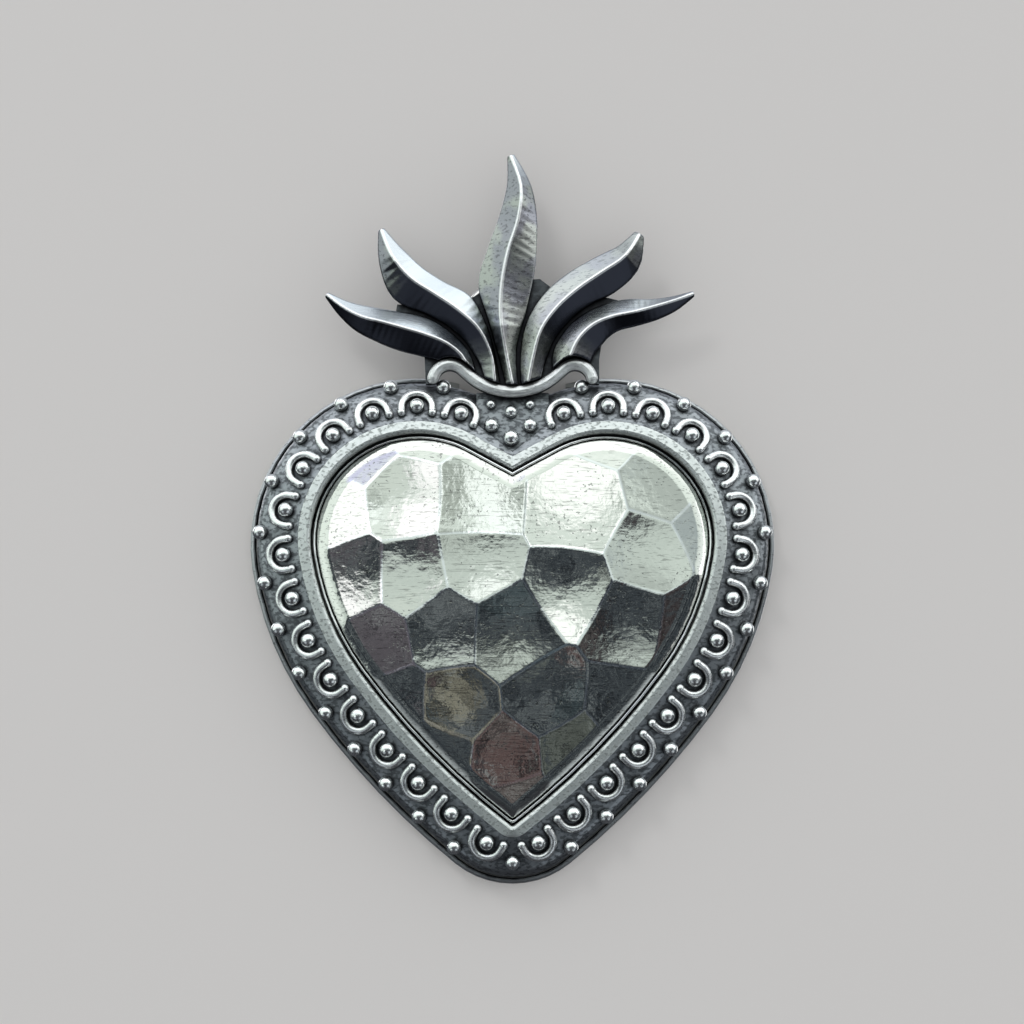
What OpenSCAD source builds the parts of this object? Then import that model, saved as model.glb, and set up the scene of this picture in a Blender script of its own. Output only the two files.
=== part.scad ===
// Flaming heart charm in oxidised silver, standing upright as it hangs.
// The front faces -Y and the flames point to +Z. The origin is on the back face,
// on the middle line, at the level where the heart is widest.
// The pieces are drawn lying face up, x across, y up the heart and z towards the
// viewer, and upright() stands them up.

/* [Heart outline] */
// Distance of each lobe's centre from the middle line
lobe_x = 6.6; // [6.3:0.1:6.9]
// Level of the lobe centres
lobe_y = 1.1; // [0.8:0.05:1.4]
// Radius of the line of beads round a lobe
lobe_r = 9.15; // [9:0.05:9.4]
// Radius of the bead line on the flank below a lobe
flank_r = 20.4; // [19:0.2:22]
// Radius of the bead line on the long side
side_r = 53.8; // [50:0.2:58]
// Radius of the bead line round the tip
tip_r = 3.15; // [2.9:0.05:3.4]
// Heading where the long side turns into the flank, degrees from level
side_a = 53.6; // [52:0.2:55]
// Heading where the flank turns into the lobe, degrees from level
flank_a = 81; // [79:0.5:83]
// Slope of the straight run down into the cleft, degrees
cleft_slope = 29; // [27:0.5:31]
// Growth of the tip's radius for each millimetre inside the bead line
tip_grow = 1.8; // [1.6:0.05:2]
// Growth of the tip's radius for each millimetre outside it
tip_grow_out = 1.3; // [1:0.05:1.5]

/* [Back plate] */
// Thickness of the back sheet
plate_t = 0.8; // [0.6:0.05:1]
// Distance from the bead line out to the plate's edge
plate_out = 2.42; // [2.3:0.02:2.5]
// Radius of the thin wire that edges the plate
edge_wire_r = 0.2; // [0.15:0.01:0.2]

/* [Border] */
// Height of the sloping border on the bead line, from the back
field_h = 2.85; // [2.6:0.05:3.1]
// Fall of the border towards its outer side, degrees
field_slope = 22; // [18:1:26]
// Thickness of the border strip
border_wall = 0.6; // [0.5:0.05:0.7]
// Distance from the bead line out to the foot of the border
border_out = 1.95; // [1.9:0.01:2]
// Outer radius of the border's shoulder
shoulder_r = 0.85; // [0.75:0.05:0.95]
// Fall of the small panel in the cleft, degrees
cleft_fall = 8.5; // [5:0.5:12]
// Distance below the end of the lobes' curves from which that panel falls
cleft_fall_from = 0.7; // [0.5:0.05:1]
// Half width of the panel in the cleft
cleft_half_w = 2.5; // [2.2:0.1:2.6]
// Wall left between the rim and the panel's point
cleft_toe = 0.3; // [0.2:0.05:0.4]
// Width of the ledge on which the neck plate is soldered
ledge = 0.45; // [0.35:0.05:0.5]

/* [Inner rim] */
// Distance from the bead line in to the window
window_in = 1.83; // [1.75:0.01:1.95]
// Width of the smooth rim round the window
rim_w = 0.84; // [0.76:0.02:0.9]
// Height of the rim's crest from the back
rim_h = 3.5; // [3.45:0.05:3.7]
// Rounding of the rim's inner edge
rim_round = 0.25; // [0.15:0.01:0.3]
// Step from the border up to the rim's outer edge
rim_step = 0.1; // [0.05:0.01:0.2]

/* [Hammered heart] */
// Width of the dark groove between rim and heart
groove_w = 0.45; // [0.35:0.05:0.6]
// Thickness of the hammered sheet
sheet_t = 0.8; // [0.6:0.05:0.9]
// Height of the dome's crown from the back
crown_h = 4.4; // [4.2:0.05:4.6]
// Level of the dome's crown
crown_y = -4; // [-6:0.5:-2]
// Radius of the dome across
dome_rx = 72; // [64:1:80]
// Radius of the dome up and down
dome_ry = 90; // [80:1:100]

/* [Arches and beads] */
// Arches on each side
arch_count = 15; // [14:1:16]
// Radius of an arch's middle line
arch_r = 1.06; // [0.98:0.01:1.07]
// Radius of the arch wire
arch_wire_r = 0.28; // [0.22:0.01:0.3]
// Length of an arch's straight legs
arch_leg = 0.45; // [0.2:0.05:0.5]
// Radius of the bulbs that end the legs
bulb_r = 0.3; // [0.28:0.01:0.32]
// Radius of the bead inside each arch
bead_r = 0.52; // [0.46:0.01:0.58]
// Radius of the beads between the arches
edge_bead_r = 0.5; // [0.4:0.01:0.55]
// Distance from the bead line out to the edge beads
edge_bead_out = 1.56; // [1.54:0.01:1.65]
// Distance from the bead line out to the tip bead
tip_bead_out = 0.88; // [0.8:0.01:1.1]
// Extra space between the two arches at the tip
tip_space = 0.5; // [0.3:0.05:0.6]
// Radius of the bead at the tip
tip_bead_r = 0.5; // [0.45:0.01:0.55]

/* [Collar] */
// Radius of the collar wire
collar_wire_r = 0.4; // [0.35:0.01:0.42]
// Lowest level of the collar wire's middle line
collar_low = 11.35; // [11.35:0.05:11.5]
// Radius of the wire's wide valley
valley_r = 4.5; // [4.4:0.05:4.6]
// Half angle of the valley, degrees
valley_a = 42; // [41:0.5:43]
// Straight length between valley and crest
collar_run = 0.7; // [0.6:0.05:0.8]
// Radius of the wire's crests
crest_r = 1.2; // [1.15:0.01:1.25]
// Turn of a crest past its top, degrees
crest_turn = 80; // [70:1:88]

/* [Flames] */
// Height of the neck plate's back from the back of the charm
neck_back = 2.4; // [2.35:0.05:2.6]
// Thickness of the neck plate
neck_t = 0.6; // [0.5:0.05:0.7]
// Level of the neck plate's lower edge
neck_low = 10.93; // [10.9:0.01:10.95]
// Thickness of a flame at its edges
flame_edge = 0.4; // [0.3:0.05:0.6]
// Rise of a flame's ridge above its edges
flame_rise = 0.95; // [0.6:0.05:1.2]
// Width of a flame from which its ridge has its full rise
flame_full_w = 2.2; // [1.8:0.1:2.8]

/* [Hanging loop] */
// Radius of the loop's wire
loop_wire_r = 0.45; // [0.4:0.01:0.48]
// Clear width inside the loop
loop_w = 4.6; // [4.5:0.05:4.8]
// Clear height from the knuckle to the loop's crown
loop_h = 4.5; // [4.4:0.05:4.7]
// Radius of the loop's upper corners, at the middle of the wire
loop_corner_r = 1.5; // [1.2:0.1:1.6]
// Radius of the loop's lower corners, at the middle of the wire
loop_foot_r = 0.75; // [0.6:0.05:0.8]
// Lean of the raised loop towards the flames, degrees
loop_lean = 3; // [2:0.5:3.5]
// Outer radius of the knuckle
knuckle_r = 1; // [0.95:0.01:1.05]
// Length of the knuckle
knuckle_len = 3.6; // [3:0.1:3.8]
// Level of the hinge
hinge_y = 12.8; // [12.75:0.05:12.95]
// Gap all round between the wire and the knuckle's bore
hinge_gap = 0.05; // [0.02:0.01:0.1]
// Width of the flat pad that solders the knuckle to the neck plate
pad_w = 1.2; // [0.8:0.1:1.6]
// Gap between the back plate's notch and the sides of the loop
notch_gap = 0.5; // [0.3:0.05:0.7]
// Gap between the back plate's notch and the knuckle
notch_low_gap = 0.2; // [0.15:0.05:0.25]

/* [Hidden] */
silver = "silver";
dark_silver = "dimgray";
bright = "gainsboro";
small_fn = 28;
smooth_fn = 48;
huge = 60;
half_space = 5;
// Beads and wires that stand on the sloping border clear it by this much
seat_gap = 0.01;
cleft_a = 180 + cleft_slope;
window_d = -window_in;
rim_out_d = window_d + rim_w;
heart_d = window_d - groove_w;
knuckle_h = neck_back - knuckle_r;
neck_front = neck_back + neck_t;
// Level of the cleft, where the lobes' curves end, for which the places above it are given
cleft_level = 9.1028;

// Hammer marks on the heart, x and y of each blow
marks = [[-10.3, 6.8], [-6.6, 7.5], [-12.1, 3.4], [-7.4, 3.4], [-2.9, 3.9], [0.1, 3.9],
    [3.6, 3], [10.1, 4.9], [12.7, 1.5], [-11.2, -1], [-6.9, -1], [-2, -1], [9.5, -0.6],
    [3.8, -3.2], [11.6, -3.6], [-9.2, -5.9], [-4.7, -5.5], [-0.3, -5.9], [7.8, -5.5],
    [-3.8, -10.4], [2.3, -9.9], [-7.9, -10.8], [7.6, -10.6], [-0.7, -14.4], [4.7, -13.8],
    [-5.1, -14], [0.2, -17.6]];

// Beads in the cleft, x, y and radius
cleft_spots = [[-1.49, 10.5, 0.33], [1.21, 10.5, 0.33], [-0.1, 9.95, 0.45],
    [-1.45, 8.97, 0.5], [1.21, 8.97, 0.5], [-0.1, 8.06, 0.56]];

// Each flame's ridge from root to tip, x, y and the widths to its left and right
centre_run = [[0.03, 11.65, 0.45, 0.4], [-0.46, 13.99, 0.58, 0.75], [-0.82, 16.33, 0.88, 1.66],
    [-0.74, 18.71, 1.66, 2.07], [-0.31, 21.05, 1.47, 2.04], [0.39, 23.33, 1.38, 1.39],
    [0.59, 25.7, 1.05, 0.75], [-0.15, 28, 0.25, 0.28]];
left_upper_run = [[-1.21, 11.65, 0.5, 0.42], [-1.39, 13.68, 1.05, 0.26], [-2.25, 15.51, 1.24, 0.65],
    [-3.74, 16.89, 1.23, 1.4], [-5.41, 18.05, 1.44, 1.2], [-7.1, 19.19, 1.75, 1.2],
    [-8.37, 20.75, 1.01, 1], [-9.15, 22.75, 0.22, 0.25]];
left_lower_run = [[-2.93, 12.2, 0.55, 0.5], [-3.42, 13.64, 0.94, 0.62], [-4.57, 14.59, 1.24, 0.92],
    [-5.98, 15.17, 1.41, 1.25], [-7.44, 15.61, 1.47, 1.25], [-8.92, 16.03, 1.32, 1.06],
    [-10.4, 16.43, 0.98, 0.95], [-11.72, 17.16, 0.57, 0.6], [-12.93, 18.15, 0.16, 0.2]];
right_upper_run = [[1.04, 11.65, 0.5, 0.75], [1.42, 13.6, 0.92, 0.91], [1.97, 15.5, 1.2, 1.11],
    [3.1, 17.11, 1.42, 1.2], [4.57, 18.43, 1.42, 1.3], [6.2, 19.57, 1.28, 1.55],
    [7.81, 20.72, 1.02, 1.24], [8.85, 22.4, 0.4, 0.35]];
right_lower_run = [[3.74, 12.2, 0.95, 1.2], [3.99, 13.63, 1.3, 1.41], [4.6, 14.94, 1.2, 1.45],
    [5.64, 15.92, 1.12, 1.34], [6.97, 16.46, 1.14, 0.95], [8.4, 16.76, 1.1, 0.85],
    [9.79, 17.19, 0.66, 0.85], [11.17, 17.65, 0.38, 0.65], [12.6, 18.2, 0.2, 0.16]];
flame_steps = 28;
// Space left between the flames' roots and the collar wire
root_gap = 0.03;
// Steps in the rounding of the collar wire's ends
collar_end_steps = 4;

// Plan of the plate that carries the flames, from the collar wire's right end to its left end
neck_points = [[5.25, 11.95], [6, 11.9], [6, 13.6], [6.2, 14.9], [6.9, 16.1], [7.4, 17],
    [7.3, 17.8], [5.6, 18.2], [3.6, 18], [1.9, 19.3], [-1.3, 19.1], [-2.6, 18.1], [-4.4, 17.2],
    [-6.8, 17.4], [-8, 17.5], [-8.2, 16.4], [-7.2, 15], [-6.1, 13.9], [-6, 11.9],
    [-5.25, 11.95]];
arc_steps = [5, 6, 6, 20];
tip_least_r = 0.2;

// Outward direction where the outline has this heading
function out(a) = [sin(a), -cos(a)];

// The right half of the outline at distance d outside the bead line:
// centre, radius, first and last heading of each arc from the tip up
function outline(d) =
    let (c1 = [lobe_x, lobe_y],
        c2 = c1 + (lobe_r - flank_r) * out(flank_a),
        c3 = c2 + (flank_r - side_r) * out(side_a),
        tr = max(tip_r + (d < 0 ? tip_grow : tip_grow_out) * d, tip_least_r),
        reach = side_r + d - tr,
        c4 = [0, c3.y - sqrt(reach * reach - c3.x * c3.x)],
        tip_a = atan2(-c3.x, c3.y - c4.y))
    [[c4, tr, 0, tip_a],
        [c3, side_r + d, tip_a, side_a],
        [c2, flank_r + d, side_a, flank_a],
        [c1, lobe_r + d, flank_a, cleft_a]];

function arc_len(arc) = arc[1] * (arc[3] - arc[2]) * PI / 180;
function arc_point(arc, a) = arc[0] + arc[1] * out(a);

// The place and heading at length s along an outline
function at(line, s, i = 0) =
    let (arc = line[i], a = arc[2] + s / arc[1] * 180 / PI)
    (s <= arc_len(arc) || i == len(line) - 1)
        ? [arc_point(arc, a), a]
        : at(line, s - arc_len(arc), i + 1);

// Points of the whole closed outline at distance d, from the tip round to the right
function half_loop(line) =
    let (end = arc_point(line[3], cleft_a))
    concat([for (i = [0 : 3], k = [0 : arc_steps[i] - 1])
            arc_point(line[i], line[i][2] + (line[i][3] - line[i][2]) * k / arc_steps[i])],
        [end, [0, end.y - end.x * tan(cleft_slope)]]);
function loop_points(d) =
    let (half = half_loop(outline(d)))
    concat(half, [for (i = [len(half) - 2 : -1 : 1]) [-half[i].x, half[i].y]]);

bead_line = outline(0);
bead_line_len = arc_len(bead_line[0]) + arc_len(bead_line[1]) + arc_len(bead_line[2])
    + arc_len(bead_line[3]);
pitch = (bead_line_len - tip_space / 2) / arch_count;
// Length along the bead line to the end of this many arches
function span(count) = tip_space / 2 + count * pitch;

// The border's shoulder: centre of its arc, and the border's height outside it
shoulder_x = border_out - shoulder_r;
shoulder_touch = shoulder_x + shoulder_r * sin(field_slope);
function field_at(d) = field_h - d * tan(field_slope);
shoulder_y = field_at(shoulder_touch) - shoulder_r * cos(field_slope);

// Where the bead line's lobe runs out into the straight of the cleft
cleft_end = arc_point(bead_line[3], cleft_a);
// Height of the panel in the cleft at level y
function cleft_at(y) = field_h - (y - cleft_end.y + cleft_fall_from) * tan(cleft_fall);
// The places given above the cleft move up and down with it
top_shift = cleft_end.y - cleft_level;
hinge_level = hinge_y + top_shift;
neck_level = neck_low + top_shift;

// A smooth curve through a list of points, u from 0 to 1
function blend(a, b, c, d, t) =
    (2 * b + (c - a) * t + (2 * a - 5 * b + 4 * c - d) * t * t
        + (3 * b - a - 3 * c + d) * t * t * t) / 2;
function along(p, u) =
    let (n = len(p) - 1, i = min(floor(u * n), n - 1))
    blend(p[max(i - 1, 0)], p[i], p[i + 1], p[min(i + 2, n)], u * n - i);

module upright() {
    rotate([90, 0, 0]) children();
}

module both_sides() {
    for (side = [0, 1]) mirror([side, 0, 0]) children();
}

// A solid skinned over rings of points, each ring clockwise as seen along the run
module skin(rings, closed = false) {
    n = len(rings[0]);
    m = len(rings);
    walls = [for (i = [0 : closed ? m - 1 : m - 2], j = [0 : n - 1])
        let (a = n * i, b = n * ((i + 1) % m), k = (j + 1) % n)
            each [[a + j, b + j, a + k], [a + k, b + j, b + k]]];
    first = [for (j = [0 : n - 1]) j];
    last = [for (j = [n - 1 : -1 : 0]) n * (m - 1) + j];
    polyhedron([for (ring = rings) each ring], closed ? walls : concat(walls, [first, last]));
}

// A section led round the whole outline, or only up to this distance from the middle
// line at the cleft: each point is its distance outside the bead line and its height
module swept(section, open_w = 0) {
    loops = [for (spot = section) loop_points(spot.x)];
    n = len(loops[0]);
    kept = [for (i = [0 : n - 1]) if (loops[0][i].y < 0 || abs(loops[0][i].x) >= open_w) i];
    run = concat([for (i = kept) if (i > n / 2) i], [for (i = kept) if (i <= n / 2) i]);
    skin([for (i = run)
            [for (k = [0 : len(section) - 1]) [loops[k][i].x, loops[k][i].y, section[k].y]]],
        closed = open_w == 0);
}

// Half of a round wire lying on height 0 at distance d, as a section
function lying_wire(d, r, steps) =
    [for (k = [0 : steps]) [d - r * cos(180 * k / steps), r * sin(180 * k / steps)]];

// The back plate is cut away between these places, so that the loop can swing
notch_half_w = loop_w / 2 + 2 * loop_wire_r + notch_gap;

module back_plate() {
    color(silver) upright() difference() {
        linear_extrude(plate_t) polygon(loop_points(plate_out));
        translate([-notch_half_w, hinge_level - knuckle_r - notch_low_gap, -plate_t])
            cube([2 * notch_half_w, huge, 3 * plate_t]);
    }
}

module edge_wire() {
    color(bright) upright() translate([0, 0, plate_t])
        swept(lying_wire(plate_out - edge_wire_r, edge_wire_r, 6), notch_half_w);
}

// Points on an arc round the border's shoulder, clockwise from the slope to the foot
function shoulder_arc(r, steps) =
    [for (k = [0 : steps]) let (a = field_slope + (90 - field_slope) * k / steps)
        [shoulder_x + r * sin(a), shoulder_y + r * cos(a)]];

// The hollow border strip, from its foot at the rim over to its outer foot
border_section = concat(
    [[rim_out_d, plate_t], [rim_out_d, field_at(rim_out_d)]],
    shoulder_arc(shoulder_r, 4),
    [[border_out, plate_t], [border_out - border_wall, plate_t]],
    [for (k = [2 : -1 : 0]) shoulder_arc(shoulder_r - border_wall, 2)[k]],
    [[rim_out_d + border_wall, field_at(rim_out_d + border_wall) - border_wall / cos(field_slope)],
        [rim_out_d + border_wall, plate_t]]);

// Plan of the panel let into the cleft
module panel_plan() {
    toe_y = cleft_end.y - cleft_end.x * tan(cleft_slope)
        + (rim_out_d + cleft_toe) / cos(cleft_slope);
    panel_top = neck_level + ledge;
    polygon([[0, toe_y], [cleft_half_w, cleft_end.y], [cleft_half_w, panel_top],
        [-cleft_half_w, panel_top], [-cleft_half_w, cleft_end.y]]);
}

module border_shell() {
    color(dark_silver) upright() difference() {
        swept(border_section);
        linear_extrude(huge) panel_plan();
    }
}

// The panel's face falls gently to the neck plate's edge and passes under it as a ledge
module cleft_panel() {
    color(dark_silver) upright() intersection() {
        translate([0, 0, plate_t]) linear_extrude(field_h) panel_plan();
        union() {
            translate([-huge / 2, neck_level - seat_gap, 0]) cube([huge, huge, neck_back]);
            intersection() {
                translate([-huge / 2, 0, 0]) cube([huge, neck_level, huge]);
                translate([-huge / 2, 0, cleft_at(0)]) rotate([-cleft_fall, 0, 0])
                    translate([0, 0, -huge]) cube(huge);
            }
        }
    }
}

module inner_rim() {
    outer_h = field_at(rim_out_d) + rim_step;
    section = concat([[window_d, plate_t]],
        [for (k = [0 : 4]) let (a = 90 * k / 4)
            [window_d + rim_round * (1 - cos(a)), rim_h - rim_round * (1 - sin(a))]],
        [[rim_out_d - rim_step, outer_h], [rim_out_d, outer_h - rim_step / 2],
            [rim_out_d, plate_t]]);
    color(bright) upright() swept(section);
}

// The space under the hammered surface, lowered by drop and drawn in by inset
module hammered_form(drop, inset) {
    intersection() {
        translate([0, 0, plate_t]) linear_extrude(crown_h) polygon(loop_points(heart_d - inset));
        intersection_for(mark = marks) {
            dx = mark.x / dome_rx;
            dy = (mark.y - crown_y) / dome_ry;
            h = crown_h - drop - (mark.x * dx + (mark.y - crown_y) * dy) / 2;
            translate([mark.x, mark.y, h]) rotate([-atan(dy), atan(dx), 0])
                translate([-huge, -huge, -2 * huge]) cube(2 * huge);
        }
    }
}

module hammered_heart() {
    color(bright) upright() difference() {
        hammered_form(0, 0);
        translate([0, 0, -0.01]) hammered_form(sheet_t, sheet_t);
    }
}

// The space above a flat seat
module above_seat() {
    translate([-half_space, -half_space, 0]) cube(2 * half_space);
}

// Local frame on the sloping border at length s: x outward down the slope
module on_border(s) {
    spot = at(bead_line, s);
    translate([spot[0].x, spot[0].y, field_h]) rotate(spot[1] - 90) rotate([0, field_slope, 0])
        translate([0, 0, seat_gap]) children();
}

module arch() {
    lift = arch_wire_r / 2;
    intersection() {
        union() {
            rotate(-90) rotate_extrude(angle = 180, $fn = smooth_fn)
                translate([arch_r, lift]) circle(arch_wire_r, $fn = small_fn);
            for (side = [-1, 1]) {
                translate([0, side * arch_r, lift]) rotate([0, -90, 0])
                    cylinder(h = arch_leg, r = arch_wire_r, $fn = small_fn);
                translate([-arch_leg, side * arch_r, lift]) sphere(bulb_r, $fn = small_fn);
            }
        }
        above_seat();
    }
}

module arch_wires() {
    color(bright) upright() both_sides() for (i = [0 : arch_count - 1]) {
        on_border(span(i + 0.5)) arch();
    }
}

// A bead soldered down on a flat seat
module bead(r) {
    intersection() {
        translate([0, 0, r / 2]) sphere(r, $fn = small_fn);
        above_seat();
    }
}

module arch_beads() {
    color(bright) upright() both_sides() for (i = [0 : arch_count - 1]) {
        on_border(span(i + 0.5)) bead(bead_r);
    }
}

// A bead saddled on the border's shoulder at length s
module shoulder_bead(s, r) {
    spot = at(bead_line, s);
    lean = asin((edge_bead_out - shoulder_x) / shoulder_r);
    translate(spot[0]) rotate(spot[1] - 90) translate([shoulder_x, 0, shoulder_y])
        rotate([0, lean, 0]) difference() {
            translate([0, 0, shoulder_r + r / 2]) sphere(r, $fn = small_fn);
            rotate([90, 0, 0])
                cylinder(h = 2 * half_space, r = shoulder_r + seat_gap, center = true,
                    $fn = smooth_fn);
        }
}

module edge_beads() {
    color(bright) upright() both_sides() for (i = [1 : arch_count - 1]) {
        shoulder_bead(span(i), edge_bead_r);
    }
}

// The border is steeper at the tip, where its lines run closer together
function tip_at(d) = let (arc = outline(d)[0]) [arc[0].y - arc[1], field_at(d)];

module tip_bead() {
    seat = tip_at(tip_bead_out);
    fall = tip_at(tip_bead_out - tip_bead_r) - tip_at(tip_bead_out + tip_bead_r);
    color(bright) upright() translate([0, seat.x, seat.y]) rotate([atan(fall.y / fall.x), 0, 0])
        translate([0, 0, 2 * seat_gap]) bead(tip_bead_r);
}

module cleft_beads() {
    color(bright) upright() for (spot = cleft_spots) {
        y = spot.y + top_shift;
        translate([spot.x, y, cleft_at(y) + seat_gap]) rotate([-cleft_fall, 0, 0])
            bead(spot[2]);
    }
}

// The collar wire's middle line from the middle of its valley to its right end: x, y,
// heading and the share of its full size, which falls off at the rounded end
valley_end = [valley_r * sin(valley_a), collar_low + valley_r * (1 - cos(valley_a))];
crest_start = valley_end + collar_run * [cos(valley_a), sin(valley_a)];
crest_c = crest_start + crest_r * [sin(valley_a), -cos(valley_a)];
function crest_point(a) = crest_c + crest_r * [-sin(a), cos(a)];
collar_half = concat(
    [for (k = [0 : 8]) let (a = valley_a * k / 8)
        [valley_r * sin(a), collar_low + valley_r * (1 - cos(a)), a, 1]],
    [for (k = [0 : 10]) let (a = valley_a - (valley_a + crest_turn) * k / 10, p = crest_point(a))
        [p.x, p.y, a, 1]],
    [for (k = [1 : collar_end_steps])
        let (p = crest_point(-crest_turn), a = 80 * k / collar_end_steps,
            f = sin(a) * collar_wire_r)
        [p.x + f * cos(crest_turn), p.y - f * sin(crest_turn), -crest_turn, cos(a)]]);
collar_run_all = concat(
    [for (i = [len(collar_half) - 1 : -1 : 1]) let (p = collar_half[i]) [-p.x, p.y, -p.z, p[3]]],
    collar_half);

module collar_wire() {
    lift = collar_wire_r / 4;
    color(bright) upright() translate([0, top_shift]) skin([for (p = collar_run_all)
        [for (k = [0 : 8]) let (a = 22.5 * k, across = -cos(a) * collar_wire_r * p[3])
            [p.x + across * sin(p.z), p.y - across * cos(p.z),
                neck_front + p[3] * (sin(a) * collar_wire_r + (k % 8 == 0 ? 0 : lift))]]]);
}

// A neck with low webs between the flames, cut along the lower side of the collar wire
module flame_plate() {
    n = len(collar_run_all);
    neck = concat([for (i = [collar_end_steps : n - 1 - collar_end_steps])
            let (p = collar_run_all[i])
                [p.x + collar_wire_r * sin(p.z), p.y - collar_wire_r * cos(p.z)]],
        neck_points);
    color(dark_silver) upright() translate([0, top_shift, neck_back])
        linear_extrude(neck_t) polygon(neck);
}

// Plan of everything above the collar wire
module above_collar() {
    off = collar_wire_r + root_gap;
    edge = [for (p = collar_run_all) [p.x - off * sin(p.z), p.y + off * cos(p.z)]];
    last = edge[len(edge) - 1];
    polygon(concat(edge, [[huge, last.y], [huge, huge], [-huge, huge], [-huge, last.y]]));
}

// The five corners of a flame at u from root to tip: outer edges and ridge
function flame_ring(run, u) =
    let (spot = along(run, u),
        ahead = along(run, min(u + 0.01, 1)) - along(run, max(u - 0.01, 0)),
        left = [-ahead.y, ahead.x] / norm([ahead.x, ahead.y]),
        place = [spot.x, spot.y],
        a = place + spot[2] * left,
        b = place - spot[3] * left,
        edge_h = neck_front + flame_edge,
        ridge_h = edge_h + flame_rise * min(1, (spot[2] + spot[3]) / flame_full_w))
    [[a.x, a.y, neck_front], [a.x, a.y, edge_h], [place.x, place.y, ridge_h],
        [b.x, b.y, edge_h], [b.x, b.y, neck_front]];

module flame(run) {
    translate([0, top_shift]) intersection() {
        skin([for (i = [0 : flame_steps]) flame_ring(run, i / flame_steps)]);
        linear_extrude(huge) above_collar();
    }
}

module flame_centre() {
    color(bright) upright() flame(centre_run);
}

module flame_left_upper() {
    color(bright) upright() flame(left_upper_run);
}

module flame_left_lower() {
    color(bright) upright() flame(left_lower_run);
}

module flame_right_upper() {
    color(bright) upright() flame(right_upper_run);
}

module flame_right_lower() {
    color(bright) upright() flame(right_lower_run);
}

module hinge_knuckle() {
    color(silver) upright() translate([0, hinge_level, knuckle_h]) difference() {
        union() {
            rotate([0, 90, 0]) cylinder(h = knuckle_len, r = knuckle_r, center = true,
                $fn = smooth_fn);
            translate([-knuckle_len / 2, -pad_w / 2, 0]) cube([knuckle_len, pad_w, knuckle_r]);
        }
        rotate([0, 90, 0])
            cylinder(h = knuckle_len + 1, r = loop_wire_r + hinge_gap, center = true,
                $fn = smooth_fn);
    }
}

// A quarter bend of the loop's wire, from heading +x at the origin round to +y
module bend(r) {
    translate([0, r]) rotate(-90) rotate_extrude(angle = 90, $fn = smooth_fn)
        translate([r, 0]) circle(loop_wire_r, $fn = small_fn);
}

module straight(a, b) {
    run = b - a;
    translate(a) rotate(atan2(run.y, run.x)) rotate([0, 90, 0])
        cylinder(h = norm(run), r = loop_wire_r, $fn = small_fn);
}

module hanging_loop() {
    half_w = loop_w / 2 + loop_wire_r;
    top = knuckle_r + loop_h + loop_wire_r;
    foot_x = half_w - loop_foot_r;
    head_x = half_w - loop_corner_r;
    color(bright) upright() translate([0, hinge_level, knuckle_h]) rotate([loop_lean, 0, 0]) {
        straight([-foot_x, 0], [foot_x, 0]);
        straight([-head_x, top], [head_x, top]);
        both_sides() {
            translate([foot_x, 0]) bend(loop_foot_r);
            straight([half_w, loop_foot_r], [half_w, top - loop_corner_r]);
            translate([head_x, top]) mirror([0, 1]) bend(loop_corner_r);
        }
    }
}

back_plate();
edge_wire();
border_shell();
inner_rim();
hammered_heart();
arch_wires();
arch_beads();
edge_beads();
cleft_beads();
tip_bead();
collar_wire();
cleft_panel();
flame_plate();
flame_centre();
flame_left_upper();
flame_left_lower();
flame_right_upper();
flame_right_lower();
hinge_knuckle();
hanging_loop();
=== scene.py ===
import math

import bmesh
import bpy
import numpy as np
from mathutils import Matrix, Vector
from mathutils.kdtree import KDTree


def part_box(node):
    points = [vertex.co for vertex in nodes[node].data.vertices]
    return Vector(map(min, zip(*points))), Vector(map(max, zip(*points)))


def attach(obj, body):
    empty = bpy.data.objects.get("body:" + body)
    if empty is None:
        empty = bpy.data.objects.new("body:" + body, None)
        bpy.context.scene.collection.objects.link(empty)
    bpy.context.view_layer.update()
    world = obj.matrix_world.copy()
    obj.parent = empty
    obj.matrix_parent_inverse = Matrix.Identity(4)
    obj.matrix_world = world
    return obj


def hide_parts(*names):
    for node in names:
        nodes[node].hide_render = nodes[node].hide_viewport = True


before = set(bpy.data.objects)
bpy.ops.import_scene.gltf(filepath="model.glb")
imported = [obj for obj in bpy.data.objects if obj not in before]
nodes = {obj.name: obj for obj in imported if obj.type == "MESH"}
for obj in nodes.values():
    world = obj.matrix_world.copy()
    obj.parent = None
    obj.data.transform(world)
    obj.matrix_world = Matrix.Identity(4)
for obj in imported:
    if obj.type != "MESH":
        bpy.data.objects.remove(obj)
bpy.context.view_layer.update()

# Camera: in front of the charm and a little towards its tip, as in the photo, so that the lower
# flank shows. The charm fills about half of the picture's width.
MM = 0.001
aim = Vector((-0.035, -2.0, 3.09)) * MM
camera_distance = 270 * MM
camera_below = math.radians(8.1)
picture_width = 70.8 * MM
camera_data = bpy.data.cameras.new("camera")
camera = bpy.data.objects.new("camera", camera_data)
bpy.context.scene.collection.objects.link(camera)
camera_data.lens = camera_data.sensor_width * camera_distance / picture_width
camera_data.clip_start = 0.01
camera_data.clip_end = 10
away = Vector((0, -math.cos(camera_below), -math.sin(camera_below)))
camera.location = aim + camera_distance * away
camera.rotation_euler = (-away).to_track_quat("-Z", "Y").to_euler()
bpy.context.scene.camera = camera
bpy.context.scene.view_settings.view_transform = "Standard"


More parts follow.
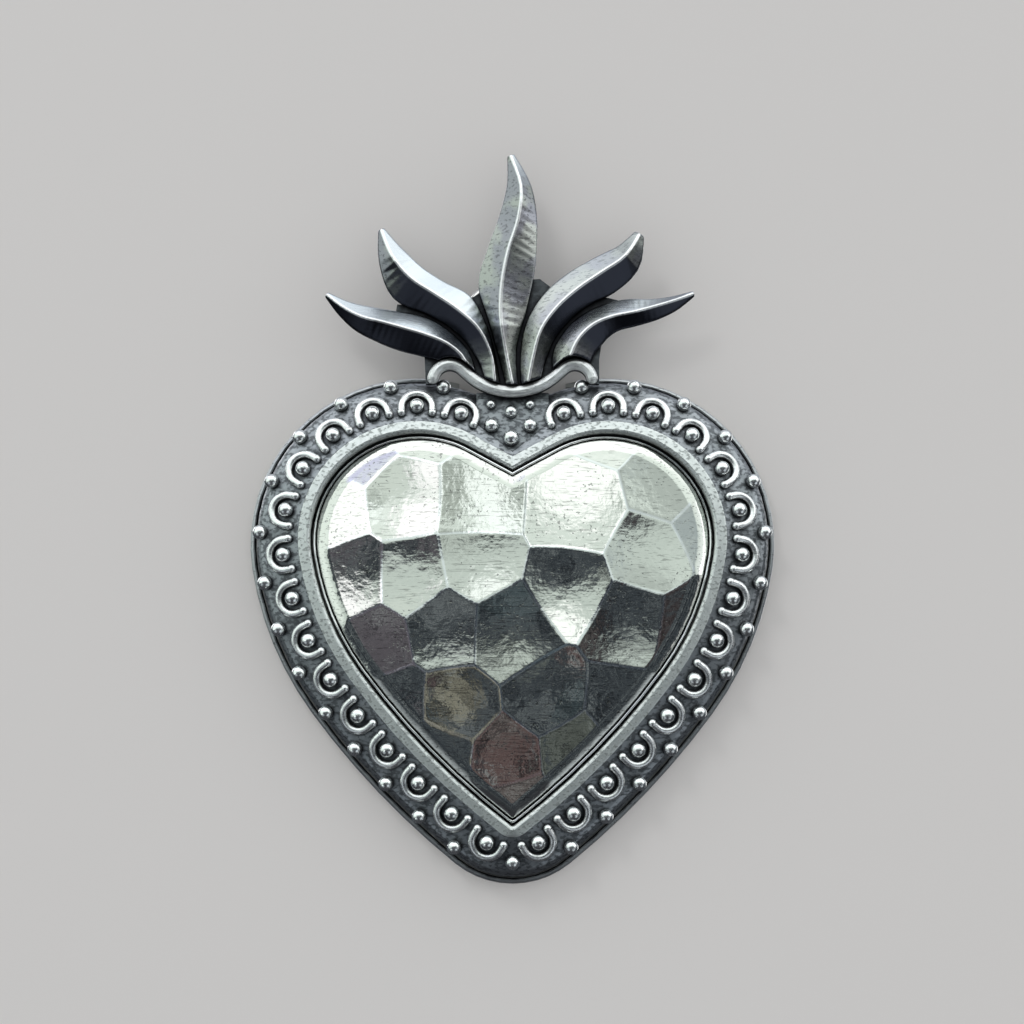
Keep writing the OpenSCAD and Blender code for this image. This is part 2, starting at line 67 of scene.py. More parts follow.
# Room: a plain studio, painted all round for the silver to mirror. A tall uneven window stands in
# front of the charm and above it, and reaches lower at the left; below it the room is dim and
# mottled. Seen directly, the background is pale everywhere.
def add(tree, kind, inputs=None, **fields):
    """Add one shader node, set its fields and inputs, and link what is given as a socket."""
    node = tree.nodes.new(kind)
    for field, value in fields.items():
        setattr(node, field, value)
    for key, value in (inputs or {}).items():
        if isinstance(value, bpy.types.NodeSocket):
            tree.links.new(value, node.inputs[key])
        else:
            node.inputs[key].default_value = value
    return node


def ramp(tree, value, low, high, to_low=0.0, to_high=1.0):
    """The value, taken softly from one range to another and held at both ends."""
    inputs = {"Value": value, "From Min": low, "From Max": high, "To Min": to_low, "To Max": to_high}
    return add(tree, "ShaderNodeMapRange", inputs, interpolation_type="SMOOTHSTEP").outputs["Result"]


def math_of(tree, operation, a, b):
    return add(tree, "ShaderNodeMath", {0: a, 1: b}, operation=operation).outputs[0]


def mix_colour(tree, share, a, b):
    """The first colour where the share is 0, and the second where it is 1."""
    a, b = (tone if isinstance(tone, bpy.types.NodeSocket) else (*tone, 1) for tone in (a, b))
    return add(tree, "ShaderNodeMix", {"Factor": share, 6: a, 7: b}, data_type="RGBA").outputs[2]


def noise(tree, place, scale, detail, roughness=0.5):
    """Cloudy values round one half, with about this many clouds to one unit of the place."""
    inputs = {"Vector": place, "Scale": scale, "Detail": detail, "Roughness": roughness}
    return add(tree, "ShaderNodeTexNoise", inputs).outputs["Fac"]


room = bpy.data.worlds.new("studio")
bpy.context.scene.world = room
room.use_nodes = True
tree = room.node_tree
tree.nodes.clear()
way = add(tree, "ShaderNodeTexCoord").outputs["Generated"]
side, depth, height = add(tree, "ShaderNodeSeparateXYZ", {0: way}).outputs


def in_patches(tone, patches):
    """The tone with soft round patches over it: across and up in degrees, half width, colour."""
    for across, up, half_width, colour in patches:
        a, b, far = math.radians(across), math.radians(up), math.radians(half_width)
        centre = (math.sin(a) * math.cos(b), -math.cos(a) * math.cos(b), math.sin(b))
        near = add(tree, "ShaderNodeVectorMath", {0: way, 1: centre}, operation="DOT_PRODUCT")
        share = ramp(tree, near.outputs["Value"], math.cos(1.35 * far), math.cos(0.55 * far))
        tone = mix_colour(tree, share, tone, colour)
    return tone


# The window's lower edge is wavy and drops towards the left.
window_low = math.sin(math.radians(9))
window_top = math.sin(math.radians(27))
edge_blur = 0.014
wavy = ramp(tree, noise(tree, way, 9.0, 2.0), 0.3, 0.7, -0.02, 0.02)
drop_at_left = ramp(tree, side, -0.44, -0.70, 0.0, 0.36)
edge_height = math_of(tree, "ADD", math_of(tree, "ADD", height, wavy), drop_at_left)
above = ramp(tree, edge_height, window_low - edge_blur, window_low + edge_blur)
in_front = ramp(tree, depth, 0.25, -0.05)
window = math_of(tree, "MULTIPLY", above, in_front)

# Its pane is greenish at the foot and brightest where the sky is; each patch, a cloud or a dark
# reflection in the pane, is what one or two of the hammer marks mirror.
rise = ramp(tree, edge_height, window_low, window_top)
pane = mix_colour(tree, rise, (0.62, 0.70, 0.67), (0.94, 1.04, 1.00))
pane = mix_colour(tree, ramp(tree, height, 0.46, 0.66), pane, (1.50, 1.54, 1.56))
pane = in_patches(pane, [
    (0.5, 17.0, 3.2, (0.42, 0.47, 0.44)),
    (18.5, 19.0, 5.0, (0.50, 0.56, 0.54)),
    (-7.5, 18.5, 3.4, (1.25, 1.35, 1.35)),
    (-17.0, 22.0, 4.0, (1.40, 1.40, 1.45)),
    (-24.0, 17.0, 5.0, (1.30, 1.35, 1.35)),
    (-6.5, 15.5, 3.0, (1.20, 1.28, 1.28)),
    (-18.5, 13.0, 3.5, (1.25, 1.25, 1.30)),
    (7.5, 15.0, 3.0, (1.30, 1.35, 1.35)),
    (-9.0, 17.0, 2.4, (0.44, 0.50, 0.47)),
    (-11.0, 15.0, 3.0, (0.72, 0.80, 0.76)),
    (-28.0, 30.0, 8.0, (0.78, 0.80, 1.05)),
    (30.0, 12.0, 8.0, (0.42, 0.48, 0.50))])
pane = mix_colour(tree, ramp(tree, height, 0.75, 0.97), pane, (1.15, 1.20, 1.25))
pane = mix_colour(tree, ramp(tree, side, 0.52, 0.85), pane, (1.10, 1.15, 1.18))

# The dim part has a faint colour or a paler spot for each of the lower marks, and the mottling of
# leaves: near black with glints between.
leaves = noise(tree, way, 34.0, 6.0, roughness=0.7)
dim = in_patches((0.048, 0.058, 0.070), [
    (-17.0, 3.0, 5.0, (0.120, 0.110, 0.130)),
    (-8.5, 1.0, 3.5, (0.110, 0.125, 0.140)),
    (-0.5, 0.0, 3.5, (0.070, 0.095, 0.110)),
    (22.0, 5.0, 4.0, (0.060, 0.048, 0.050)),
    (-7.0, -4.4, 3.4, (0.270, 0.262, 0.215)),
    (-1.0, -9.5, 3.6, (0.120, 0.078, 0.078)),
    (8.0, -8.5, 3.4, (0.120, 0.135, 0.125)),
    (0.5, -14.0, 3.5, (0.120, 0.100, 0.100)),
    (-0.5, 10.3, 3.8, (0.66, 0.74, 0.70)),
    (14.8, 9.6, 3.4, (0.50, 0.56, 0.54)),
    (-9.5, 10.0, 2.8, (0.52, 0.56, 0.57))])
dim = mix_colour(tree, ramp(tree, leaves, 0.52, 0.38), dim, (0.006, 0.007, 0.010))
dim = mix_colour(tree, ramp(tree, leaves, 0.53, 0.70, 0.0, 0.8), dim, (0.44, 0.48, 0.49))

# The floor is dark between two pale reflectors, and behind the charm the walls go grey upwards.
dim = mix_colour(tree, ramp(tree, height, -0.34, -0.6), dim, (0.034, 0.036, 0.042))
dim = in_patches(dim, [
    (-50.0, -36.0, 18.0, (0.40, 0.44, 0.47)),
    (50.0, -36.0, 18.0, (0.55, 0.60, 0.64))])
dim = mix_colour(tree, ramp(tree, height, 0.1, 0.7), dim, (0.40, 0.42, 0.46))
seen_in_metal = mix_colour(tree, window, dim, pane)
ray = add(tree, "ShaderNodeLightPath").outputs
room_tone = mix_colour(tree, ray["Is Glossy Ray"], (0.62, 0.62, 0.63), seen_in_metal)
room_tone = mix_colour(tree, ray["Is Camera Ray"], room_tone, (0.86, 0.86, 0.85))
shine = add(tree, "ShaderNodeBackground", {"Color": room_tone})
add(tree, "ShaderNodeOutputWorld", {"Surface": shine.outputs[0]})


# Lamps: soft boxes. The key stands above and to the left, so that the shadow falls to the
# lower right; the others lift the sides and the back.
def soft_box(name, place, size, power, in_metal=True):
    data = bpy.data.lights.new(name, "AREA")
    data.shape = "RECTANGLE"
    data.size, data.size_y = size
    data.energy = power
    lamp = bpy.data.objects.new(name, data)
    bpy.context.scene.collection.objects.link(lamp)
    lamp.location = place
    lamp.rotation_euler = (aim - Vector(place)).to_track_quat("-Z", "Y").to_euler()
    lamp.visible_glossy = in_metal


soft_box("key", (-0.16, -0.30, 0.26), (0.10, 0.10), 0.16, in_metal=False)
soft_box("fill_right", (0.40, -0.20, 0.05), (0.20, 0.30), 0.10)
soft_box("back_left", (-0.30, 0.35, 0.20), (0.25, 0.25), 0.30)
soft_box("back_right", (0.30, 0.40, 0.05), (0.25, 0.25), 0.25)


# Board: the plain pale board that the charm lies against, which takes its shadow. Light passes
# through it and its own back is clear, so that the back of the charm can be lit and looked at.
def new_look(name):
    """A material with no nodes in it yet."""
    look = bpy.data.materials.new(name)
    look.use_nodes = True
    look.node_tree.nodes.clear()
    return look


board_half = 1.5
corners = [(x * board_half, 0, z * board_half) for x, z in ((-1, -1), (1, -1), (1, 1), (-1, 1))]
board_mesh = bpy.data.meshes.new("board")
board_mesh.from_pydata(corners, [], [(0, 1, 2, 3)])
board = bpy.data.objects.new("board", board_mesh)
bpy.context.scene.collection.objects.link(board)
board.location.y = 0.1 * MM
board.visible_diffuse = board.visible_glossy = board.visible_shadow = False
board_look = new_look("board")
tree = board_look.node_tree
plain = add(tree, "ShaderNodeBsdfPrincipled", {"Base Color": (0.80, 0.79, 0.77, 1), "Roughness": 0.8})
clear = add(tree, "ShaderNodeBsdfTransparent")
from_behind = add(tree, "ShaderNodeNewGeometry").outputs["Backfacing"]
either = add(tree, "ShaderNodeMixShader", {0: from_behind, 1: plain.outputs[0], 2: clear.outputs[0]})
add(tree, "ShaderNodeOutputMaterial", {"Surface": either.outputs[0]})
board_mesh.materials.append(board_look)

# Back plate: the heart-shaped silver sheet that everything is soldered to, sawn out and sanded,
# with a thin wire soldered round its edge. Both have gone dull. Like all the silver here, they
# have tarnish and painted shade in the creases, and fine lines.

# Tarnish and painted shade: sulphide that stays in creases, where a cloth can't reach, and thins
# out unevenly, together with the shade that falls there, painted from ambient occlusion.
tarnish_and_shade = bpy.data.node_groups.new("crease_tarnish_and_shade", "ShaderNodeTree")
for name, value in (("Reach", 0.5 * MM), ("Amount", 1.0), ("Patch Size", 0.6 * MM)):
    socket = tarnish_and_shade.interface.new_socket(name, in_out="INPUT", socket_type="NodeSocketFloat")
    socket.default_value = value
tarnish_and_shade.interface.new_socket("Mask", in_out="OUTPUT", socket_type="NodeSocketFloat")
given = add(tarnish_and_shade, "NodeGroupInput").outputs
spot = add(tarnish_and_shade, "ShaderNodeTexCoord").outputs["Object"]
open_sky = add(tarnish_and_shade, "ShaderNodeAmbientOcclusion", {"Distance": given["Reach"]}, samples=12)
patch_scale = math_of(tarnish_and_shade, "DIVIDE", 1.0, given["Patch Size"])
shift = ramp(tarnish_and_shade, noise(tarnish_and_shade, spot, patch_scale, 4.0), 0.3, 0.7, -0.12, 0.12)
closed = math_of(tarnish_and_shade, "SUBTRACT", math_of(tarnish_and_shade, "ADD", 1.0, shift), open_sky.outputs["AO"])
mask = math_of(tarnish_and_shade, "MULTIPLY", ramp(tarnish_and_shade, closed, 0.12, 0.62), given["Amount"])
add(tarnish_and_shade, "NodeGroupOutput", {"Mask": mask})

# Fine lines: the long thin scratches of file and cloth, which run along the vector's first axis.
lines = bpy.data.node_groups.new("fine_lines", "ShaderNodeTree")
lines.interface.new_socket("Vector", in_out="INPUT", socket_type="NodeSocketVector")
for name, value in (("Length", 3 * MM), ("Spacing", 0.1 * MM), ("Threshold", 0.6)):
    socket = lines.interface.new_socket(name, in_out="INPUT", socket_type="NodeSocketFloat")
    socket.default_value = value
lines.interface.new_socket("Soft", in_out="OUTPUT", socket_type="NodeSocketFloat")
lines.interface.new_socket("Deep", in_out="OUTPUT", socket_type="NodeSocketFloat")
given = add(lines, "NodeGroupInput").outputs
long = math_of(lines, "DIVIDE", 1.0, given["Length"])
fine = math_of(lines, "DIVIDE", 1.0, given["Spacing"])
scale = add(lines, "ShaderNodeCombineXYZ", {"X": long, "Y": fine, "Z": fine}).outputs[0]
place = add(lines, "ShaderNodeVectorMath", {0: given["Vector"], 1: scale}, operation="MULTIPLY")
grain = noise(lines, place.outputs[0], 1.0, 3.0)
least = given["Threshold"]
deep = ramp(lines, grain, least, math_of(lines, "ADD", least, 0.06))
add(lines, "NodeGroupOutput", {"Soft": grain, "Deep": deep})


def fine_lines(tree, vector, length, spacing, threshold):
    """The soft and the deep output of the fine lines, placed in this tree."""
    inputs = {"Vector": vector, "Length": length, "Spacing": spacing, "Threshold": threshold}
    marks = add(tree, "ShaderNodeGroup", inputs, node_tree=lines)
    return marks.outputs["Soft"], marks.outputs["Deep"]


def in_creases(tree, reach, amount, patch):
    """Where the tarnish and the painted crease shade lie, from 0 in the open to 1 in a crease."""
    inputs = {"Reach": reach, "Amount": amount, "Patch Size": patch}
    return add(tree, "ShaderNodeGroup", inputs, node_tree=tarnish_and_shade).outputs["Mask"]


def mix_value(tree, share, a, b):
    return add(tree, "ShaderNodeMix", {"Factor": share, 2: a, 3: b}).outputs[0]


def metal(tree, colour, roughness, normal):
    """The silver itself, under this colour, roughness and relief."""
    body = add(tree, "ShaderNodeBsdfPrincipled", {"Base Color": colour, "Metallic": 1.0,
                                                  "Roughness": roughness, "Normal": normal})
    add(tree, "ShaderNodeOutputMaterial", {"Surface": body.outputs[0]})


def silver(name, bright, black, smooth, dull, reach, amount, patch, length, spacing,
           depth=0.002 * MM, threshold=0.6, streak=0.25):
    """Bright smooth silver with fine lines, black and dull in creases: tarnish and painted shade."""
    look = new_look(name)
    tree = look.node_tree
    spot = add(tree, "ShaderNodeTexCoord").outputs["Object"]
    crease = in_creases(tree, reach, amount, patch)
    soft, deep = fine_lines(tree, spot, length, spacing, threshold)
    worn = mix_colour(tree, math_of(tree, "MULTIPLY", deep, streak), bright, black)
    colour = mix_colour(tree, crease, worn, black)
    even = ramp(tree, soft, 0.35, 0.65, smooth, smooth * 1.5)
    relief = add(tree, "ShaderNodeBump", {"Height": soft, "Distance": depth})
    metal(tree, colour, mix_value(tree, crease, even, dull), relief.outputs[0])
    return look


def dress(look, *names):
    """Give this look to the frame's nodes of these names."""
    for name in names:
        mesh = nodes[name].data
        mesh.materials.clear()
        mesh.materials.append(look)


dress(silver("back_plate", bright=(0.62, 0.61, 0.59), black=(0.16, 0.15, 0.14),
             smooth=0.36, dull=0.5, reach=0.6 * MM, amount=0.5, patch=2 * MM,
             length=6 * MM, spacing=0.12 * MM, depth=0.006 * MM, streak=0.35), "back_plate")
dress(silver("edge", bright=(0.55, 0.57, 0.58), black=(0.04, 0.04, 0.045),
             smooth=0.30, dull=0.5, reach=0.6 * MM, amount=1.0, patch=1.2 * MM,
             length=0.6 * MM, spacing=0.1 * MM, depth=0.006 * MM, streak=0.6), "edge_wire")

# Border: the hollow strip under the ornament and the panel let into it at the cleft, pressed from
# silver sheet and soldered to the back plate, blackened and then rubbed back with a cloth.
# Its creases are painted black over a wide reach: painted shade round the arches and beads, with
# tarnish.
dress(silver("border", bright=(0.36, 0.385, 0.405), black=(0.050, 0.054, 0.060),
             smooth=0.34, dull=0.5, reach=1.2 * MM, amount=0.9, patch=0.6 * MM,
             length=0.4 * MM, spacing=0.22 * MM, depth=0.02 * MM, threshold=0.50, streak=0.6),
      "border_shell", "cleft_panel")

# Rim: the smooth strip that stands round the window, bent from flat silver wire. It is satin from
# the polishing cloth.
dress(silver("rim", bright=(0.76, 0.80, 0.78), black=(0.10, 0.11, 0.11),
             smooth=0.42, dull=0.55, reach=0.4 * MM, amount=0.9, patch=0.3 * MM,
             length=0.3 * MM, spacing=0.18 * MM, depth=0.012 * MM, threshold=0.55, streak=0.45),
      "inner_rim")

# Ornament: arches and a wavy collar bent from round silver wire, satin, and brighter beads melted
# from snips of it. All are soldered down, and their creases are dark with tarnish and painted shade.
dress(silver("wire", bright=(0.98, 1.0, 0.99), black=(0.040, 0.042, 0.047),
             smooth=0.25, dull=0.5, reach=0.6 * MM, amount=0.95, patch=0.4 * MM,
             length=0.6 * MM, spacing=0.15 * MM, depth=0.008 * MM, streak=0.3), "arch_wires")
dress(silver("collar", bright=(0.98, 1.0, 0.99), black=(0.06, 0.063, 0.07),
             smooth=0.40, dull=0.5, reach=0.6 * MM, amount=0.6, patch=0.4 * MM,
             length=0.6 * MM, spacing=0.15 * MM, depth=0.008 * MM, streak=0.2), "collar_wire")
dress(silver("bead", bright=(0.97, 0.99, 0.98), black=(0.040, 0.042, 0.047),
             smooth=0.19, dull=0.5, reach=0.7 * MM, amount=0.9, patch=0.4 * MM,
             length=0.6 * MM, spacing=0.15 * MM, depth=0.008 * MM, streak=0.3),
      "arch_beads", "edge_beads", "cleft_beads", "tip_bead")

# Flames: silver strips filed to a ridge, which the cloth rounded; the ridge is painted white, for
# its polish and as a painted highlight. The faces keep the strokes of the file and a grey film. They
# are soldered to a sheet behind their roots, coloured near black as painted shade between them.
dress(silver("web", bright=(0.13, 0.14, 0.15), black=(0.03, 0.03, 0.034),
             smooth=0.36, dull=0.5, reach=1.2 * MM, amount=1.0, patch=0.6 * MM,
             length=0.4 * MM, spacing=0.22 * MM, depth=0.02 * MM, threshold=0.52), "flame_plate")
flame_look = new_look("flame")
tree = flame_look.node_tree
spot = add(tree, "ShaderNodeTexCoord").outputs["Object"]
ridge = add(tree, "ShaderNodeAttribute", attribute_name="ridge").outputs["Fac"]
ridge = ramp(tree, ridge, 0.35, 0.8)
stroke, cut = fine_lines(tree, spot, length=1.5 * MM, spacing=0.16 * MM, threshold=0.56)
film = ramp(tree, noise(tree, spot, 1 / (2.2 * MM), 2.0), 0.42, 0.6)
tone = mix_colour(tree, film, (0.32, 0.325, 0.355), (0.42, 0.44, 0.41))
tone = mix_colour(tree, math_of(tree, "MULTIPLY", cut, 0.55), tone, (0.08, 0.08, 0.085))

# Painted light and shade: the faces that lean up and to the right are painted pale, as lit, and
# those that lean down are painted near black, as shaded.
lean = add(tree, "ShaderNodeNewGeometry").outputs["Normal"]
lean_right, _, lean_up = add(tree, "ShaderNodeSeparateXYZ", {0: lean}).outputs
painted_lit_faces = math_of(tree, "MULTIPLY", ramp(tree, lean_up, 0.15, 0.5),
                 ramp(tree, lean_right, -0.3, 0.2, 0.25, 1.0))
tone = mix_colour(tree, painted_lit_faces, tone, (0.74, 0.80, 0.83))
tone = mix_colour(tree, ramp(tree, lean_up, -0.05, -0.4), tone, (0.045, 0.048, 0.062))
# The creases are darkened by tarnish and painted shade.
crease = in_creases(tree, reach=1.2 * MM, amount=0.9, patch=0.6 * MM)
tone = mix_colour(tree, crease, tone, (0.02, 0.02, 0.023))
# The ridge is painted white: polish and a painted highlight.
tone = mix_colour(tree, ridge, tone, (1.0, 1.0, 1.0))
relief = add(tree, "ShaderNodeBump", {"Height": stroke, "Distance": 0.005 * MM})
metal(tree, tone, mix_value(tree, ridge, 0.22, 0.34), relief.outputs[0])


def softened(name, grain, rounds):
    """A copy of the node's mesh in even small faces, its edges rounded as by a polishing cloth."""
    rough = bpy.data.objects.new(name + "_rough", nodes[name].data.copy())
    bpy.context.scene.collection.objects.link(rough)
    cells = rough.modifiers.new("cells", "REMESH")
    cells.mode = "VOXEL"
    cells.voxel_size = grain
    rub = rough.modifiers.new("rub", "SMOOTH")
    rub.iterations = rounds
    ready = rough.evaluated_get(bpy.context.evaluated_depsgraph_get())
    mesh = bpy.data.meshes.new_from_object(ready)
    mesh.name = name + "_shown"
    bpy.data.objects.remove(rough)
    return mesh


def ridge_nearness(name, mesh):
    """How near each vertex of the mesh is to the node's ridge, from 1 on it to 0 past its reach."""
    reach, least_angle, forward, steps = 0.30 * MM, 0.35, -0.2, 8
    solid = bmesh.new()
    solid.from_mesh(nodes[name].data)
    bmesh.ops.remove_doubles(solid, verts=solid.verts, dist=0.001 * MM)
    tops = KDTree(len(solid.edges) * (steps + 1))
    for edge in solid.edges:
        faces_out = all(face.normal.y < forward for face in edge.link_faces)
        if faces_out and len(edge.link_faces) == 2 and edge.calc_face_angle() > least_angle:
            for k in range(steps + 1):
                tops.insert(edge.verts[0].co.lerp(edge.verts[1].co, k / steps), 0)
    solid.free()
    tops.balance()
    return [max(0.0, 1 - tops.find(vertex.co)[2] / reach) for vertex in mesh.vertices]


def stand_in(name, mesh, look):
    """Show this mesh in place of the frame's node."""
    mesh.materials.clear()
    mesh.materials.append(look)
    mesh.polygons.foreach_set("use_smooth", [True] * len(mesh.polygons))
    body = bpy.data.objects.new(name + "_shown", mesh)
    bpy.context.scene.collection.objects.link(body)
    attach(body, "charm")
    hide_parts(name)


for name in ("flame_centre", "flame_left_upper", "flame_left_lower", "flame_right_upper",
             "flame_right_lower"):
    mesh = softened(name, grain=0.06 * MM, rounds=12)
    nearness = ridge_nearness(name, mesh)
    mesh.attributes.new("ridge", "FLOAT", "POINT").data.foreach_set("value", nearness)
    stand_in(name, mesh, flame_look)

# Hammered heart: a domed sheet of silver, planished, mirror polished and set in the window. Each
# blow left a shallow dish, and neighbouring dishes meet in a ridge, which is painted near white
# for its polish and as a painted highlight. The edge is bevelled, and a thin flange below it lies
# in the groove.

# The dome's radii across and up, the level of its crown, and how far it stays below the solid's
# crown, which leaves room for the ridges.
dome_across, dome_up, crown_level = 72 * MM, 90 * MM, -4 * MM
ridge_rise = 0.10 * MM
# How softly the dishes meet, half the width of the painted bright band there, half the usual way
# from blow to blow, and the radius of a plain dish.
ridge_soft = 0.009 * MM
ridge_half_width = 0.15 * MM
blow_reach = 2.7 * MM
plain_dish = 62 * MM
# Each blow: place across and up in mm, how far the hammer leaned upwards and to the right in
# degrees, and the radius of its dish in mm. A dish rounder than the plain one is sunk deeper.
blows = [(-10.6, 7.4, 0.3, -0.5, 80), (-6.4, 9.2, 0.8, 0.0, 80), (6.4, 9.0, 0.8, 0.0, 70),
         (-13.2, 3.4, 0.0, 0.4, 90), (-7.5, 3.7, 0.2, 0.0, 46), (-2.5, 3.7, -0.2, 0.3, 80),
         (4.2, 3.0, 0.1, 0.0, 95), (11.0, 5.0, 0.0, 0.0, 80), (13.7, 2.2, 0.0, 0.0, 90),
         (-11.2, -1.3, -0.9, 0.0, 70), (-6.9, -1.2, -1.0, 0.2, 62), (-2.2, -2.0, 1.7, -0.2, 62),
         (9.6, -0.5, 0.6, -0.2, 60), (3.7, -3.4, 1.7, 0.0, 54), (12.3, -3.9, -2.6, 0.3, 90),
         (-9.2, -6.3, 0.1, -0.3, 58), (-4.7, -6.2, 1.5, 0.2, 72), (-0.2, -6.8, 2.2, 0.0, 70),
         (8.3, -6.3, 1.7, 0.0, 70), (-3.8, -10.7, 0.3, -0.2, 48), (2.3, -9.9, 0.0, 0.2, 56),
         (-8.2, -10.6, 0.0, 0.0, 80), (7.7, -10.5, 0.0, 0.0, 80), (-0.6, -14.4, 0.2, 0.2, 62),
         (4.6, -13.8, 0.0, -0.2, 80), (-5.2, -13.8, 0.0, 0.0, 80), (0.3, -17.5, 0.2, 0.0, 80)]
sheet = nodes["hammered_heart"].data
crown_height = -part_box("hammered_heart")[0][1] - ridge_rise
dishes = []
for across, up, lean_up, lean_right, dish_radius in blows:
    radius = dish_radius * MM
    x, z = across * MM, up * MM - crown_level
    slope = np.array((-x / dome_across, -z / dome_up))
    top = crown_height + (x * slope[0] + z * slope[1]) / 2
    deeper = blow_reach ** 2 / 2 * max(1 / radius - 1 / plain_dish, 0)
    lean = np.radians((lean_right, lean_up))
    dishes.append((np.array((x, deeper - top, up * MM)), slope - lean, radius))


def hammered(x, z):
    """Height of the hammered surface over the back, and how near each point is to a ridge."""
    heights = np.stack([-centre[1] + slope[0] * (x - centre[0]) + slope[1] * (z - centre[2])
                        + ((x - centre[0]) ** 2 + (z - centre[2]) ** 2) / (2 * radius)
                        for centre, slope, radius in dishes])
    least = heights.min(axis=0)
    height = least - ridge_soft * np.log(np.exp((least - heights) / ridge_soft).sum(axis=0))
    order = np.argsort(heights, axis=0)[:2]
    lowest, second = np.take_along_axis(heights, order, axis=0)
    place = np.stack((x, z), axis=1)
    turns = np.stack([slope + (place - centre[[0, 2]]) / radius for centre, slope, radius in dishes])
    first_turn, next_turn = np.take_along_axis(turns, order[:, :, None], axis=0)
    turn = np.linalg.norm(next_turn - first_turn, axis=-1)
    nearness = 1 - (second - lowest) / (turn * ridge_half_width)
    return height, np.clip(nearness, 0, 1)


# The mesh is rings round the middle, each point on one of its rays. Along each ray: how far out
# the sheet's outline is, and how much longer a step is there than one square to the outline.
middle = np.array((0.0, -2.0)) * MM
around, rings = 600, 138
most_aslant = 1.8
angles = np.arange(around) * 2 * math.pi / around
rays = np.stack((np.cos(angles), np.sin(angles)), axis=1)
back = max(vertex.co.y for vertex in sheet.vertices)
reach_out = np.zeros(around)
aslant = np.ones(around)
for edge in sheet.edges:
    a, b = (sheet.vertices[i].co for i in edge.vertices)
    if min(a.y, b.y) > back - 0.001 * MM:
        a = np.array((a.x, a.z)) - middle
        b = np.array((b.x, b.z)) - middle
        run = b - a
        cross = rays[:, 0] * run[1] - rays[:, 1] * run[0]
        cross[np.abs(cross) < 1e-12] = 1e-12
        along_ray = (a[0] * run[1] - a[1] * run[0]) / cross
        along_edge = (a[0] * rays[:, 1] - a[1] * rays[:, 0]) / cross
        hit = (along_edge >= -1e-6) & (along_edge <= 1 + 1e-6) & (along_ray > reach_out)
        reach_out[hit] = along_ray[hit]
        aslant[hit] = np.minimum(np.linalg.norm(run) / np.abs(cross[hit]), most_aslant)
spread = np.hanning(9) / np.hanning(9).sum()
aslant = np.convolve(np.concatenate((aslant[-4:], aslant, aslant[:4])), spread, "valid")

# The edge in section: distance inside the outline and fall, over the bevel, round the corner,
# down into a narrow gap and over the flange, which reaches a little outside the outline.
bevel_w, bevel_start, bevel_end = 0.7 * MM, math.radians(4), math.radians(17)
corner_r, gap_w, gap_fall = 0.1 * MM, 0.09 * MM, 0.75 * MM
# flange_shine: how pale the flange is painted, a painted highlight in the groove.
flange_w, flange_fall, flange_shine = 0.2 * MM, 0.32 * MM, 0.6
edge_profile = []
for k in range(9):
    run = bevel_w * k / 8
    bend = (math.tan(bevel_end) - math.tan(bevel_start)) * run * run / (2 * bevel_w)
    edge_profile.append((bevel_w + corner_r - run, math.tan(bevel_start) * run + bend))
corner_fall = edge_profile[-1][1]
for k in range(1, 7):
    turn = bevel_end + (math.pi / 2 - bevel_end) * k / 6
    share = (math.sin(turn) - math.sin(bevel_end)) / (1 - math.sin(bevel_end))
    corner_drop = corner_r * (math.cos(bevel_end) - math.cos(turn))
    edge_profile.append((corner_r * (1 - share), corner_fall + corner_drop))
edge_profile += [(0, gap_fall), (-gap_w, gap_fall)]
for k in range(9):
    turn = math.pi * k / 8
    edge_profile.append((-gap_w - flange_w / 2 * (1 - math.cos(turn)),
                         flange_fall + flange_w / 2 * (1 - math.sin(turn))))
field_reach = reach_out - aslant * edge_profile[0][0]
circles = [(field_reach * k / rings, 0.0) for k in range(1, rings)]
circles += [(reach_out - aslant * inside, fall) for inside, fall in edge_profile]
points = [(middle[0], -hammered(*middle.reshape(2, 1))[0][0], middle[1])]
crests = [0.0]
for far, fall in circles:
    x, z = (middle + rays * far[:, None]).T
    height, nearness = hammered(*(middle + rays * np.minimum(far, reach_out)[:, None]).T)
    points += zip(x, fall - height, z)
    on_flange = far[0] > reach_out[0] + gap_w + 0.01 * MM
    on_dome = fall < 0.01 * MM
    crests += list(np.maximum(nearness * on_dome, flange_shine * on_flange))
points += zip(x, [back] * around, z)
crests += [0.0] * around
faces = [(0, 1 + i, 1 + (i + 1) % around) for i in range(around)]
for ring in range(len(circles)):
    for i in range(around):
        j = (i + 1) % around
        near_ring, far_ring = 1 + ring * around, 1 + (ring + 1) * around
        faces.append((near_ring + i, far_ring + i, far_ring + j, near_ring + j))
faces.append(tuple(1 + len(circles) * around + i for i in reversed(range(around))))
heart_mesh = bpy.data.meshes.new("hammered_heart_shown")
heart_mesh.from_pydata(points, [], faces)
heart_mesh.update()
heart_mesh.attributes.new("crest", "FLOAT", "POINT").data.foreach_set("value", crests)
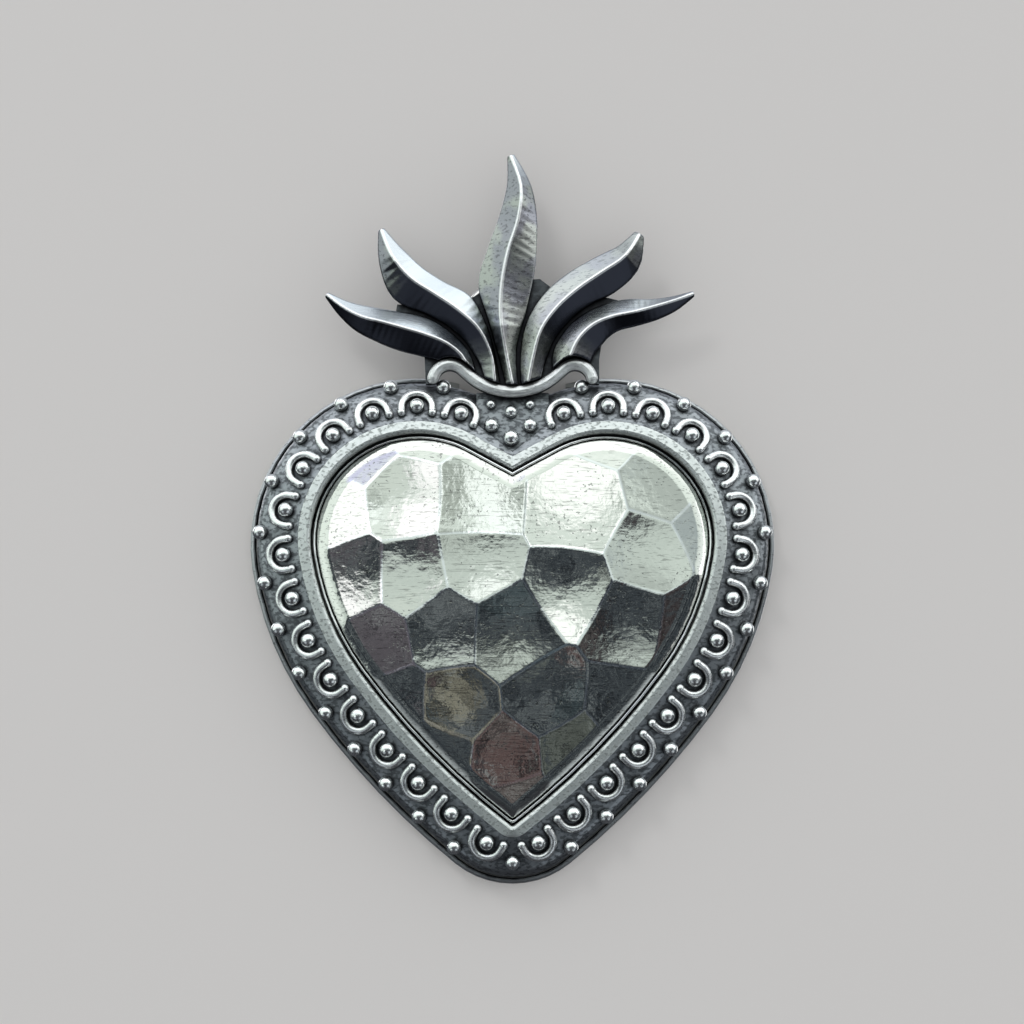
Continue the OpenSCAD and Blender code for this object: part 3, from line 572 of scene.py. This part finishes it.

# Its polish: scratches, a few long marks and clustered pits, all rubbed away on the ridges, over a
# skin that is a little uneven. The ridges and the flange are painted pale: a painted highlight.
heart_look = new_look("hammered")
tree = heart_look.node_tree
spot = add(tree, "ShaderNodeTexCoord").outputs["Object"]
crest = add(tree, "ShaderNodeAttribute", attribute_name="crest").outputs["Fac"]
crest = ramp(tree, crest, 0.1, 0.8)
off_crest = math_of(tree, "SUBTRACT", 1.0, crest)
scratch, deep_scratch = fine_lines(tree, spot, length=1.6 * MM, spacing=0.1 * MM, threshold=0.585)
mark, deep_mark = fine_lines(tree, spot, length=5 * MM, spacing=0.16 * MM, threshold=0.64)
cluster = noise(tree, spot, 1 / (3 * MM), 0.0)
pit_least = ramp(tree, cluster, 0.4, 0.65, 0.74, 0.66)
pits = noise(tree, spot, 1 / (0.22 * MM), 1.0)
pits = ramp(tree, math_of(tree, "SUBTRACT", pits, pit_least), 0.0, 0.03)
marked = math_of(tree, "MAXIMUM", math_of(tree, "MULTIPLY", deep_scratch, 0.42),
                 math_of(tree, "MULTIPLY", deep_mark, 0.35))
marked = math_of(tree, "MAXIMUM", marked, math_of(tree, "MULTIPLY", pits, 0.6))
marked = math_of(tree, "MULTIPLY", marked, off_crest)
# The creases, the groove round the edge most, are dark with tarnish and painted shade, but not the
# ridges.
crease = in_creases(tree, reach=0.4 * MM, amount=1.0, patch=0.5 * MM)
tarnish_and_painted_shade = math_of(tree, "MULTIPLY", crease, off_crest)
tone = mix_colour(tree, marked, (0.80, 0.81, 0.76), (0.10, 0.10, 0.10))
tone = mix_colour(tree, crest, tone, (0.96, 0.97, 0.98))
tone = mix_colour(tree, tarnish_and_painted_shade, tone, (0.05, 0.05, 0.052))
relief = math_of(tree, "SUBTRACT", math_of(tree, "ADD", scratch, mark),
                 math_of(tree, "MULTIPLY", pits, 2.5))
relief = math_of(tree, "MULTIPLY", relief, ramp(tree, crest, 0.0, 1.0, 1.0, 0.3))
peel = noise(tree, spot, 1 / (0.7 * MM), 3.0)
skin = add(tree, "ShaderNodeBump", {"Height": peel, "Distance": 0.011 * MM})
scored = add(tree, "ShaderNodeBump", {"Height": relief, "Distance": 0.0008 * MM,
                                      "Normal": skin.outputs[0]})
metal(tree, tone, mix_value(tree, tarnish_and_painted_shade, 0.055, 0.4), scored.outputs[0])
stand_in("hammered_heart", heart_mesh, heart_look)

# Hanging loop and its knuckle: a loop of round silver wire that turns in a short tube, which is
# soldered behind the flames' neck.
dress(silver("knuckle", bright=(0.6, 0.59, 0.57), black=(0.06, 0.06, 0.06),
             smooth=0.28, dull=0.5, reach=0.6 * MM, amount=1.0, patch=0.6 * MM,
             length=1 * MM, spacing=0.1 * MM), "hinge_knuckle")
dress(silver("loop", bright=(0.74, 0.73, 0.71), black=(0.06, 0.06, 0.06),
             smooth=0.18, dull=0.5, reach=0.6 * MM, amount=0.9, patch=0.6 * MM,
             length=1 * MM, spacing=0.1 * MM), "hanging_loop")
